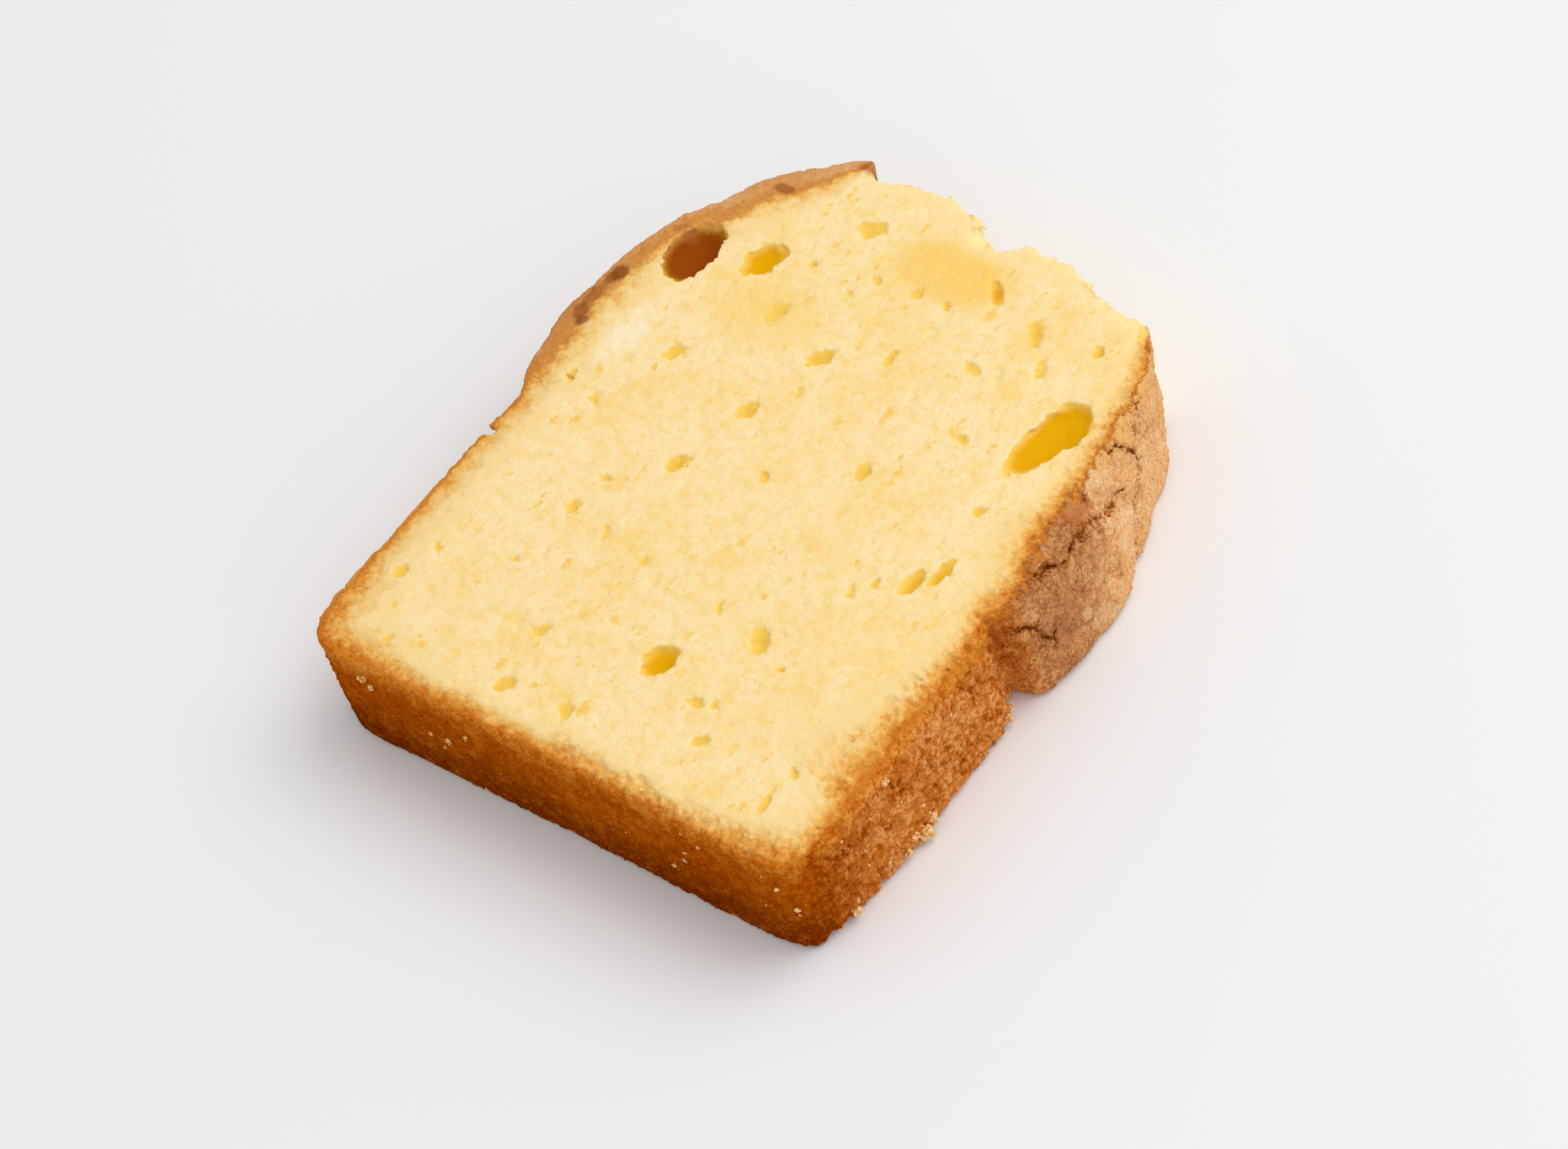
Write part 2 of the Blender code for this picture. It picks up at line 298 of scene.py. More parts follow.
def skin_mesh():
    """The solid's outer wall alone, without its cut faces and its bubbles."""
    shell = bmesh.new()
    shell.from_mesh(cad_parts["cake_slice"].data)
    bmesh.ops.remove_doubles(shell, verts=shell.verts, dist=0.001 * MM)
    margin = 0.3 * MM
    faces = []
    for face in shell.faces:
        middle = face.calc_center_median()
        cut = abs(face.normal.z) > 0.8 and not low.z + margin < middle.z < high.z - margin
        if cut or inside_bubble(middle, 1.2):
            faces.append(face)
    bmesh.ops.delete(shell, geom=faces, context="FACES")
    mesh = bpy.data.meshes.new("skin")
    shell.to_mesh(mesh)
    shell.free()
    return mesh


def bubble_mesh():
    """Egg shapes for the bubbles and the crumbled edge, half sunk in the front face."""
    shapes = bmesh.new()
    small = tuple((x, up, WIDENED * length, WIDENED * width, turn, depth, 0.0)
                  for x, up, length, width, turn, depth in SMALL_BUBBLES)
    edge = tuple((*place, 0.0) for place in CRUMBLED_EDGE)
    for x, up, length, width, turn, depth, taper in BUBBLES + small + edge:
        place = Matrix.Translation(Vector((x * MM, BASE_Y + up * MM, high.z + 0.4 * depth * MM)))
        turned = Matrix.Rotation(math.radians(turn), 4, "Z")
        sized = Matrix.Diagonal((0.54 * length * MM, 0.54 * width * MM, 1.4 * depth * MM, 1.0))
        egg = bmesh.ops.create_icosphere(shapes, subdivisions=3, radius=1.0)
        for vert in egg["verts"]:
            along, across, deep = vert.co
            fuller = 1.0 + taper * along
            vert.co = place @ turned @ sized @ Vector((along, across * fuller, deep * fuller))
    mesh = bpy.data.meshes.new("bubbles")
    shapes.to_mesh(mesh)
    shapes.free()
    return mesh


skin = helper("skin", skin_mesh())
bubbles = helper("bubbles", bubble_mesh())
skin_tree = BVHTree.FromPolygons([vert.co for vert in skin.data.vertices],
                                 [face.vertices for face in skin.data.polygons])

# Cracks in the right and left flanks of the dome, as runs of points: height above the loaf's
# base, and height through the slice.
RIGHT_CRACKS = (
    ((70.2, 17.1), (71.7, 16.7), (72.2, 14.7), (74.4, 12.3), (73.8, 9.9), (72.4, 8.9), (69.4, 5.6)),
    ((68.8, 10.5), (65.7, 10.8), (63.9, 11.4), (60.7, 13.4), (59.1, 13.8), (56.9, 13.4)),
    ((56.1, 12.4), (54.5, 12.6), (52.3, 14.3), (50.2, 15.4), (48.7, 16.4)),
    ((75.4, 13.6), (77.3, 16.4), (79.0, 17.1)),
    ((42.9, 12.9), (44.5, 13.0), (45.9, 10.1), (47.4, 7.8), (47.0, 6.2)),
    ((47.4, 7.8), (48.9, 9.2)),
    ((62.2, 16.7), (63.6, 16.4)),
)
LEFT_CRACKS = (
    ((57.0, 12.5), (60.5, 11.5), (63.0, 12.5), (66.0, 9.5), (70.0, 9.0), (73.0, 5.5), (74.0, 3.0)),
    ((64.0, 12.0), (65.5, 13.6)),
    ((49.0, 3.5), (53.0, 6.5), (56.0, 6.0), (58.5, 8.5)),
    ((76.0, 12.5), (79.0, 10.5), (81.5, 11.0)),
)


CRACK_STEP = 0.5                        # mm between the corners of a crack
CRACK_SWERVE = 0.75                     # and how far a corner swerves from its run


def crack_mesh():
    """The cracks as jagged lines laid on the skin."""
    lines = bmesh.new()
    on_right = [(high.x, crack) for crack in RIGHT_CRACKS]
    on_left = [(low.x, crack) for crack in LEFT_CRACKS]
    for side, crack in on_right + on_left:
        before = None
        for start, end in zip(crack, crack[1:]):
            start, end = Vector((*start, 0.0)), Vector((*end, 0.0))
            steps = max(1, round((end - start).length / CRACK_STEP))
            for step in range(steps + 1):
                place = start.lerp(end, step / steps)
                up, through, rest = place + noise.noise_vector(place * 0.9) * CRACK_SWERVE
                beside = Vector((0.9 * side, BASE_Y + up * MM, through * MM))
                point, normal, index, gap = skin_tree.find_nearest(beside)
                vert = lines.verts.new(point)
                if before:
                    lines.edges.new((before, vert))
                before = vert
    mesh = bpy.data.meshes.new("cracks")
    lines.to_mesh(mesh)
    lines.free()
    return mesh


cracks = helper("cracks", crack_mesh())

# How far the browning reaches in from the skin on the cut faces, in millimetres: up the right
# wall and the left wall, and along the base from left to right.
RIGHT_BROWNING = ((0, 2.4), (6, 2.0), (9.4, 2.6), (12.4, 4.0), (14, 6.2), (16, 6.0), (21, 4.8),
                  (26, 3.8), (30, 2.8), (36, 2.7), (40, 2.1), (44, 2.5), (49, 2.9), (55, 2.8),
                  (60, 2.0), (66, 2.2), (72, 2.4), (77, 2.2), (82, 2.4), (87, 4.0), (100, 4.4))
LEFT_BROWNING = ((0, 3.6), (4, 4.6), (9, 4.2), (14, 3.6), (22, 3.4), (34, 3.0), (43, 3.2),
                 (50, 3.4), (60, 3.4), (70, 3.0), (80, 3.0), (88, 2.8), (93, 2.2), (100, 2.0))
BASE_BROWNING = ((0, 4.8), (10, 4.0), (17, 2.6), (24, 2.0), (33, 2.2), (42, 1.6), (52, 1.8),
                 (62, 1.6), (72, 1.5), (80, 1.5), (88, 2.2), (94, 3.4), (100, 4.0))
# The crease where the tin's rim pinched the rising side, at each height through the slice.
RIM_CREASE = ((0, 4.22), (4, 4.24), (9, 4.16), (13, 3.98), (16, 3.78), (18, 3.86), (100, 3.9))

dough, (shell, thickness, cell, bubble_item, crack_item, seed) = geometry_tree("open_crumb", (
    ("Thickness", "Float"), ("Cell", "Float"), ("Bubbles", "Object"), ("Cracks", "Object"),
    ("Seed", "Float")))
position = dough.add("GeometryNodeInputPosition")
here = (position - (0.0, BASE_Y, 0.0)) * (1.0 / MM)
x, up, z = here.parts()
moved = here + seed


def signed_distance(surface, place):
    """Distance in millimetres from place to a surface, negative behind it."""
    nearest, gap = dough.add("GeometryNodeProximity", {"target_element": "FACES"},
                             {"Geometry": surface, "Sample Position": place},
                             ("Position", "Distance"))
    outward = dough.add("GeometryNodeSampleNearestSurface", {"data_type": "FLOAT_VECTOR"},
                        {"Mesh": surface, "Value": dough.add("GeometryNodeInputNormal"),
                         "Sample Position": place}, "Value")
    return gap * (place - nearest).dot(outward).sign() * (1.0 / MM)


def blend(first, second, share):
    return first + (second - first) * share


def shape_of(item):
    return dough.add("GeometryNodeObjectInfo", {}, {"Object": item}, "Geometry")


skin_gap = signed_distance(shell, position)
inward = -skin_gap
drift = dough.noise(moved, 1.5, 2.0, 3.0, "Color") - (0.5, 0.5, 0.5)
sway = dough.noise(moved, 5.5, 1.0, 7.0, "Color") - (0.5, 0.5, 0.5)
fine = dough.noise(moved, 0.9, 2.0, 1.0)
lumps = dough.noise(moved, 2.4, 2.0, 11.0)
swell = dough.noise(moved, 6.5, 1.0, 17.0)
grit = dough.grains(moved + drift * 0.7, 1.05)[0]

right = x.rise(-1.0, 1.0)
beside_base = (up - (39.5 - x.max(-x))).rise(-2.5, 2.5)
browning = blend(dough.profile(up, LEFT_BROWNING), dough.profile(up, RIGHT_BROWNING), right)
browning = blend(dough.profile((x + 40.0) * 1.25, BASE_BROWNING), browning, beside_base)
base = 1.0 - up.rise(0.6, 3.2)
dome = up.rise(42.0, 45.5)
torn = x.rise(-20.4, -18.4) * (1.0 - x.rise(27.0, 30.5)) * up.rise(76.0, 82.0)
pit = grit.rise(0.15, 0.85)
side_relief = 0.6 * right - 0.8 + (0.1 + 0.6 * right) * pit * (0.5 + swell) + 0.65 * lumps + 0.3 * swell
base_relief = 0.20 * pit + 0.30 * lumps - 0.15
grain_push = dough.noise(moved, 0.7, 1.0, 5.0, "Color") - (0.5, 0.5, 0.5)
crack_away = dough.add("GeometryNodeProximity", {"target_element": "EDGES"}, {
    "Geometry": shape_of(crack_item), "Sample Position": position + grain_push * (0.5 * MM)}, "Distance")
crack_gap = crack_away * (1.0 / MM)
plate_place = moved + drift * 1.3 + sway * 4.0
plate = dough.grains(plate_place, 6.0)[1]
fissure = (1.0 - dough.seams(plate_place, 6.0).rise(0.0, 0.07)) * swell.rise(0.40, 0.55)
crack_side = (crack_gap * crack_gap - inward * inward).max(0.0) ** 0.5
curl = crack_side.rise(0.3, 0.6) * (1.0 - crack_side.rise(0.9, 2.2))
dome_relief = ((0.10 * pit + 0.45 * lumps + 0.30 * fissure + 0.40 * plate) * (0.35 + 0.65 * right)
               - 0.25 * curl - 0.53 * (1.0 - right))
torn_relief = (0.5 * pit + 2.2 * lumps + 2.4 * swell - 1.7).max(-0.4)
relief = blend(blend(blend(side_relief, base_relief, base), dome_relief, dome), torn_relief, torn)
browned = (inward - relief) / (browning * (0.55 + 0.7 * lumps)) + torn * 3.0

wear = (1.0 - browned.rise(0.3, 1.6)) * (0.2 - 0.1 * right + (0.15 + 0.55 * right) * pit + 0.6 * swell)
cut_relief = 0.03 + 0.14 * pit * fine + 0.22 * lumps + wear
front = z - (thickness - cut_relief)
rear = 0.05 + 0.2 * lumps + 0.2 * wear - z
body = (skin_gap + relief).max(front).max(rear)

near_cut = z.rise(thickness - 1.2, thickness - 0.2)
ragged = sway * 1.2 + (drift * 2.2 + grain_push * 1.2) * (0.35 + 0.65 * near_cut)
holes = signed_distance(shape_of(bubble_item), position + ragged * (MM, MM, 0.3 * MM))
rim = dough.profile(z, RIM_CREASE) * 10.0
crease_gap = dough.add("ShaderNodeCombineXYZ", {}, {0: up - rim + sway.parts()[0] * 2.0,
                                                   1: skin_gap + 0.3}).length()
crack_width = (0.08 + 0.75 * swell * fine) * (1.0 - inward.rise(0.7, 1.9))
crack = (crack_side - crack_width).min(crease_gap - (0.1 + 1.1 * lumps))

from_cut = (thickness - z).min(z)
pores = None
for size, share, largest in ((4.0, 0.40, 0.80), (1.5, 0.40, 0.30)):
    away, chance = dough.grains(moved * (1.0, 0.65, 1.0) + drift * (0.4 * size), size)
    pore = away * size - chance.rise(1.0 - share, 1.0) * largest
    pores = pore if pores is None else pores.min(pore)
pores = pores + 3.0 * from_cut.rise(0.3, 1.2) + 2.0 * (1.0 - inward.rise(0.8, 2.4))
solid = body.max(-holes).max(-pores).max(-crack)

density = dough.add("ShaderNodeClamp", {}, {"Value": 0.5 - solid / (cell * 4.0)})
margin = 2.0 * GRID * MM
grid_low = [value - margin for value in low]
grid_high = [value + margin for value in high]
counts = [round((b - a) / (GRID * MM)) + 1 for a, b in zip(grid_low, grid_high)]
block = dough.add("GeometryNodeVolumeCube", {}, {
    "Density": density, "Min": grid_low, "Max": grid_high,
    "Resolution X": counts[0], "Resolution Y": counts[1], "Resolution Z": counts[2]})
surface = dough.add("GeometryNodeVolumeToMesh", {}, {"Volume": block, "Threshold": 0.5})

# A pore that the knife didn't open would stay as a closed shell inside, so small shells go.
SMALLEST_SHELL = 20000
island = dough.add("GeometryNodeInputMeshIsland")
shell_size = dough.add("GeometryNodeAccumulateField", {"data_type": "INT", "domain": "FACE"},
                       {"Value": 1, "Group ID": island}, "Total")
surface = dough.add("GeometryNodeDeleteGeometry", {"domain": "FACE"}, {
    "Geometry": surface, "Selection": dough.add("FunctionNodeCompare", {
        "data_type": "INT", "operation": "LESS_THAN"}, {2: shell_size, 3: SMALLEST_SHELL})})


def store(geometry, name, value, domain="POINT", kind="FLOAT"):
    return dough.add("GeometryNodeStoreNamedAttribute", {"data_type": kind, "domain": domain},
                     {"Geometry": geometry, "Name": name, "Value": value})


def above(value, limit):
    return (value - limit).sign().max(0.0)


FRONT, REAR, BASE_CRUST, LEFT_CRUST, RIGHT_CRUST, CROWN = range(6)
is_front = above(inward, thickness - z) * above(z, thickness * 0.5)
is_rear = above(inward, z) * above(thickness * 0.5, z)
wall = blend(blend(BASE_CRUST + 0.0, LEFT_CRUST + above(x, 0.0), above(up, 4.0)),
             CROWN + 0.0, above(torn, 0.5))
region = is_front * FRONT + is_rear * REAR + (1.0 - is_front - is_rear) * wall
surface = store(surface, "region", region, "FACE", "INT")
surface = store(surface, "browned", browned)
surface = store(surface, "inward", inward)
surface = store(surface, "torn", torn)
surface = store(surface, "sunk", -body)
surface = store(surface, "pit", relief)
surface = store(surface, "plate", plate)
surface = store(surface, "hole", holes)
surface = store(surface, "cracked", 1.0 - crack_side.min(crease_gap - 0.3).rise(0.0, 0.35))
dough.add("NodeGroupOutput", {}, {"Geometry": surface}, ())

whole = helper("whole", run_tree(skin, dough, {
    "Thickness": THICKNESS, "Cell": GRID, "Bubbles": bubbles, "Cracks": cracks, "Seed": 3.0}))

# Crumb and crust are one material, from pale butter-yellow inside to brown sugar at the skin.
CRUMB_TONES = ((254, 229, 176), (252, 214, 130), (250, 196, 70))     # dry, moist, in hollows
# Bubble walls are painted a deeper yellow the deeper they sink: a painted glow of light scattered in the
# crumb.
BUBBLE_GLOW_TONES = ((248, 206, 96), (231, 172, 12))                      # shallow, deep
# From the crust inward: how far as a share of the browning's reach, and the colour there.
BROWNING_TONES = ((0.30, (208, 126, 44)), (0.55, (225, 153, 66)), (0.85, (238, 181, 94)),
                  (1.25, (246, 206, 132)), (1.75, (251, 219, 154)))
EDGE_TONES = ((188, 88, 4), (208, 112, 16), (230, 152, 58))
TORN_TONE = (255, 229, 164)
# Crusts, each as in its pits, on its grains and on its palest grains.
SIDE_TONES = ((170, 76, 8), (206, 119, 42), (238, 172, 104))
BASE_TONES = ((140, 56, 0), (168, 74, 2), (190, 98, 8))
# The base crust low by the rear face: darker there, partly as its own colour and partly as painted
# shade.
BASE_REAR_DARK_AND_SHADE_TONES = ((96, 32, 0), (122, 46, 0), (148, 66, 4))
LOW_DOME_TONES = ((144, 72, 30), (182, 114, 62), (216, 160, 106))
HIGH_DOME_TONES = ((206, 132, 62), (234, 176, 112), (246, 206, 156))
CRACK_TONE = (204, 112, 40)
# Places of another colour: middle and half size in loaf millimetres, colour and strength.
CRUMB_PATCHES = (
    ((1.5, 84.6, 17.3), (10.5, 5.8, 4.0), (252, 204, 92), 0.72),
    ((-16.0, 68.5, 17.3), (9.0, 6.0, 4.0), (252, 210, 110), 0.4),
    ((-16.0, 69.6, 17.3), (3.0, 2.4, 4.0), (250, 208, 112), 0.5),
    ((-33.0, 58.0, 17.3), (4.4, 6.5, 4.0), (254, 236, 200), 0.75),
)
BROWN_BUBBLE = ((-32.3, 73.1, 14.2), (6.8, 7.0, 5.0), (155, 74, 12))
# The curled lip of the tear, and lumps of burnt crust along the left edge.
DARK_PLACES = (
    ((-18.9, 95.2, 9.0), (3.2, 1.9, 14.0), (172, 90, 44), 0.85),
    ((-39.5, 66.1, 16.5), (1.6, 1.6, 3.0), (132, 66, 28), 0.8),
    ((-40.2, 65.0, 16.5), (1.1, 1.6, 3.0), (142, 74, 32), 0.7),
    ((-38.9, 57.3, 16.5), (1.4, 1.3, 3.0), (128, 64, 28), 0.8),
    ((-40.2, 58.6, 16.5), (1.3, 1.8, 3.0), (146, 78, 36), 0.7),
    ((-40.3, 61.6, 16.2), (1.3, 2.6, 2.6), (154, 86, 42), 0.6),
    ((-28.1, 87.2, 16.5), (2.0, 1.0, 3.0), (152, 78, 30), 0.7),
    ((-34.2, 49.0, 17.3), (0.9, 0.5, 2.0), (190, 124, 50), 0.6),
    ((-36.0, 75.6, 15.5), (2.0, 1.4, 3.0), (176, 104, 54), 0.5),
)
CRUST_PATCHES = (
    ((36.4, 74.0, 17.0), (6.0, 11.0, 2.6), (238, 178, 100), 0.6),
    ((40.0, 35.0, 17.2), (4.0, 10.0, 2.6), (226, 148, 52), 0.55),
    ((-40.5, 25.0, 17.0), (4.0, 26.0, 4.5), (224, 158, 80), 0.7),
    ((-39.0, 62.0, 16.6), (6.0, 16.0, 4.0), (214, 150, 84), 0.7),
    ((-28.0, 86.0, 16.6), (7.0, 6.0, 4.0), (216, 152, 88), 0.6),
    ((35.5, 60.5, 14.5), (5.0, 3.8, 3.6), (190, 112, 58), 0.6),
    ((41.8, 50.5, 8.0), (6.0, 4.6, 6.5), (190, 128, 84), 0.45),
    ((42.2, 55.7, 3.2), (3.0, 2.0, 1.6), (240, 202, 150), 0.5),
    ((42.4, 53.6, 5.6), (3.0, 1.2, 1.2), (240, 202, 150), 0.5),
    ((42.2, 57.6, 1.6), (3.0, 1.1, 1.0), (240, 202, 150), 0.5),
    ((37.0, 65.3, 15.6), (3.0, 1.5, 1.2), (244, 208, 162), 0.5),
    ((38.6, 41.6, 12.0), (5.0, 2.6, 6.0), (186, 98, 24), 0.5),
    ((-42.3, 60.0, 15.0), (3.0, 5.0, 4.0), (176, 104, 58), 0.5),
    ((-40.0, 72.0, 6.0), (5.0, 8.0, 6.0), (192, 126, 80), 0.45),
)


def srgb(red, green, blue):
    """A colour given in 0 to 255 screen values, as linear light."""
    return tuple(value / 255.0 / 12.92 if value < 10 else ((value / 255.0 + 0.055) / 1.055) ** 2.4
                 for value in (red, green, blue))


def cake_finish(name, grain_height):
    finish = bpy.data.materials.new(name)
    finish.use_nodes = True
    paint = Wiring(finish.node_tree)
    shader = finish.node_tree.nodes["Principled BSDF"]

    def colour(tone):
        return (*srgb(*tone), 1.0)

    def mix(factor, first, second):
        first, second = (colour(tone) if isinstance(tone, tuple) else tone
                         for tone in (first, second))
        return paint.add("ShaderNodeMix", {"data_type": "RGBA"}, {0: factor, 6: first, 7: second}, 2)

    def attribute(label):
        return paint.add("ShaderNodeAttribute", {"attribute_name": label}, {}, "Fac")

    def patch(middle, half, ragged):
        """1 in an egg-shaped place, fading to 0 at its ragged rim."""
        away = ((here - middle) * tuple(1.0 / value for value in half)).length() + ragged
        return 1.0 - away.rise(0.55, 1.1)

    def three(tones, light):
        """A crust's tones spread over its pits, grains and palest grains."""
        return mix(light.rise(0.44, 0.82), mix(light.rise(0.10, 0.46), tones[0], tones[1]), tones[2])

    position = paint.add("ShaderNodeTexCoord", {}, {}, "Object")
    here = (position - (0.0, BASE_Y, 0.0)) * (1.0 / MM)
    x, up, z = here.parts()
    browned, torn, sunk, inward, pit, plate, cracked, hole = (attribute(label) for label in (
        "browned", "torn", "sunk", "inward", "pit", "plate", "cracked", "hole"))

    speck = paint.noise(here, 0.4, 2.0)
    fluff = paint.noise(here, 1.1, 3.0, 13.0)
    mottle = paint.noise(here, 2.2, 3.0, 5.0)
    cloud = paint.noise(here, 9.0, 2.0, 9.0)
    swirl = paint.noise(here, 0.9, 1.0, 2.0, "Color")
    grain_away, grain_tone = paint.grains(here + swirl * 0.5, 0.42)
    clusters = 0.4 + 0.6 * paint.noise(here, 6.0, 1.0, 21.0).rise(0.42, 0.62)

    def spots(size, share, largest, blur):
        """Soft round spots in some cells of about size across, the largest of that radius."""
        away, chance = paint.grains(here * (1.0, 0.62, 1.0) + swirl * (0.6 * size) + mottle, size)
        return 1.0 - (away * size - chance.rise(1.0 - share, 1.0) * largest).rise(-blur, 0.3 * blur)

    hollow = (spots(2.3, 0.50, 0.75, 0.24).max(spots(1.2, 0.50, 0.42, 0.16))) * clusters
    pinprick = spots(3.1, 0.16, 0.20, 0.10)

    moist = fluff.rise(0.46, 0.64) * 0.45 + mottle.rise(0.46, 0.66) * 0.45 + cloud.rise(0.42, 0.66) * 0.4
    crumb = mix(moist, CRUMB_TONES[0], CRUMB_TONES[1])
    crumb = mix(hollow * 0.8, crumb, CRUMB_TONES[2])
    crumb = mix(pinprick * 0.8, crumb, (230, 166, 60))
    crumb = mix(speck.rise(0.50, 0.74) * 0.45, crumb, (255, 241, 204))
    crumb = mix(grain_away.rise(0.35, 0.75) * 0.30, crumb, CRUMB_TONES[1])
    for middle, half, tone, strength in CRUMB_PATCHES:
        crumb = mix(patch(middle, half, (mottle - 0.5) * 0.5) * strength, crumb, tone)
    # Inside the bubbles the walls take the painted glow right up to their rims, which also keeps their
    # shaded sides light.
    in_bubble = sunk.rise(0.04, 0.30) * (1.0 - hole.rise(0.25, 0.6))
    # The deeper the cut face sinks, the more yellow the crumb is painted: a painted glow of light
    # scattered in the crumb.
    crumb = mix(sunk.rise(0.25, 0.9) * 0.7, crumb, CRUMB_TONES[2])
    bubble = mix(sunk.rise(0.3, 1.1), BUBBLE_GLOW_TONES[0], BUBBLE_GLOW_TONES[1])
    # The deep bubble under the left crust is painted brown inside.
    middle, half, tone = BROWN_BUBBLE
    brown_bubble_share = patch(middle, half, 0.0)
    bubble = mix(brown_bubble_share, bubble, tone)

    # The crust's lightness follows its own uneven tone, and it goes darker where its relief sinks
    # deepest: painted shade in its pits.
    light = (grain_tone * 0.35 + mottle * 0.45 + plate * 0.15 + 0.1
             + (0.5 - grain_away) * 0.25 - pit.rise(0.55, 1.3) * 0.30)
    on_base = 1.0 - (up + (mottle - 0.5) * 6.0).rise(2.0, 14.0)
    # The base crust goes darker towards the rear face: partly its own colour, partly painted shade.
    base_rear_dark_and_shade = (1.0 - (z + (mottle - 0.5) * 5.0).rise(1.0, 12.0)) * (1.0 - up.rise(1.0, 6.0))
    at_edge = (z + (mottle - 0.5) * 6.0).rise(12.5, 17.4)
    on_dome = up.rise(42.0, 46.0)
    high_dome = (up + (z - 8.0) * -0.6 + (mottle - 0.5) * 14.0).rise(52.0, 64.0)
    crust = mix(on_base, three(SIDE_TONES, light), three(BASE_TONES, light))
    crust = mix(base_rear_dark_and_shade, crust, three(BASE_REAR_DARK_AND_SHADE_TONES, light))
    crust = mix(at_edge * 0.9, crust, three(EDGE_TONES, light))
    dome_crust = mix(high_dome, three(LOW_DOME_TONES, light), three(HIGH_DOME_TONES, light))
    crust = mix(on_dome, crust, dome_crust)
    for middle, half, tone, strength in CRUST_PATCHES:
        crust = mix(patch(middle, half, (mottle - 0.5) * 0.9) * strength, crust, tone)
    crust = mix(cracked * 0.8, crust, CRACK_TONE)

    on_cut = z.rise(15.0, 16.8)
    left_edge = 1.0 - x.rise(-37.0, -30.0)
    left_dome = up.rise(44.0, 52.0) * (1.0 - x.rise(-24.0, -18.0))
    right_shoulder = x.rise(20.0, 28.0) * up.rise(58.0, 66.0)
    right_edge = x.rise(28.0, 34.0)
    low_corner = 1.0 - up.rise(4.0, 16.0)
    lighter = on_cut * ((0.50 - 0.35 * low_corner) * left_edge - 0.80 * left_dome
                        + 0.40 * right_shoulder + 0.15 * right_edge)
    uneven = (mottle - 0.5) * 0.9 + (fluff - 0.5) * 0.7 + (grain_tone - 0.5) * 0.35
    depth = browned + uneven * browned.rise(-0.2, 0.4) + lighter * browned.rise(0.0, 0.3)
    cake = crust
    start = 0.0
    for reach, tone in BROWNING_TONES:
        cake = mix(depth.rise(start, reach), cake, tone)
        start = reach
    cake = mix(depth.rise(start, 2.5), cake, crumb)
    skin_band = left_dome * on_cut * (1.0 - depth.rise(0.45, 0.95))
    cake = mix(skin_band * 0.6, cake, (208, 144, 78))
    cake = mix(in_bubble * depth.rise(0.7, 1.3).max(brown_bubble_share), cake, bubble)
    torn_share = torn * (1.0 - inward.rise(0.8, 4.5))
    tips = torn * mottle.rise(0.56, 0.66) * (1.0 - pit.rise(1.1, 1.7)) * (1.0 - inward.rise(0.6, 1.8))
    cake = mix(torn_share * 0.7, cake, TORN_TONE)
    cake = mix(tips * 0.7, cake, (224, 158, 84))
    for middle, half, tone, strength in DARK_PLACES:
        cake = mix(patch(middle, half, (mottle - 0.5) * 0.9) * strength, cake, tone)

    paint.tree.links.new(cake.socket, shader.inputs["Base Color"])
    bump = paint.add("ShaderNodeBump", {}, {"Strength": 1.0, "Distance": grain_height * MM,
                                            "Height": speck - grain_away})
    paint.tree.links.new(bump.socket, shader.inputs["Normal"])
    shader.inputs["Roughness"].default_value = 0.6
    shader.inputs["Specular IOR Level"].default_value = 0.0
    return finish


crumb_finish = cake_finish("butter_crumb", 0.04)
crust_finish = cake_finish("baked_crust", 0.15)

picker, (whole_mesh, wanted, tint) = geometry_tree("one_part", (
    ("Part", "Int"), ("Finish", "Material")))
number = picker.add("GeometryNodeInputNamedAttribute", {"data_type": "INT"}, {"Name": "region"})
same = picker.add("FunctionNodeCompare", {"data_type": "INT", "operation": "EQUAL"},
                  {2: number, 3: wanted})
chosen = picker.add("GeometryNodeSeparateGeometry", {"domain": "FACE"},
                    {"Geometry": whole_mesh, "Selection": same})
chosen = picker.add("GeometryNodeSetMaterial", {}, {"Geometry": chosen, "Material": tint})
picker.add("NodeGroupOutput", {}, {"Geometry": chosen}, ())

CUTS_AND_WALLS = (
    ("front_crumb", FRONT, crumb_finish), ("rear_crumb", REAR, crumb_finish),
    ("base_crust", BASE_CRUST, crust_finish), ("left_crust", LEFT_CRUST, crust_finish),
    ("right_crust", RIGHT_CRUST, crust_finish), ("torn_crown", CROWN, crumb_finish),
)


def keep_inside(mesh):
    """Push any point that stands out of the solid's box back to its wall."""
    for vert in mesh.vertices:
        if not all(a <= value <= b for value, a, b in zip(vert.co, low, high)):
            vert.co = [min(max(value, a), b) for value, a, b in zip(vert.co, low, high)]


cake = {}
for name, number, finish in CUTS_AND_WALLS:
    mesh = run_tree(whole, picker, {"Part": number, "Finish": finish})
    keep_inside(mesh)
    mesh.shade_smooth()
    cake[name] = helper(name, mesh)
    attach(cake[name], "root")
    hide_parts("cake_slice")

# ---------------------------------------------------------------------------------------------
# Toasted grains: crisp bits of crumb and sugar that stand proud of the crust. They are strewn
# in drifts over the walls, each half sunk where it baked on.
# ---------------------------------------------------------------------------------------------

GRAINS_PER_SQUARE_MM = {"right_crust": 3.6, "left_crust": 0.12, "base_crust": 0.6}
GRAIN_RADIUS = 0.18

strewn, (bed, density, radius, seed, tint) = geometry_tree("strewn_grains", (
    ("Density", "Float"), ("Radius", "Float"), ("Seed", "Int"), ("Finish", "Material")))


def random_vector(wiring, lowest, highest, number):
    return wiring.add("FunctionNodeRandomValue", {"data_type": "FLOAT_VECTOR"},
                      {0: lowest, 1: highest, "Seed": number})


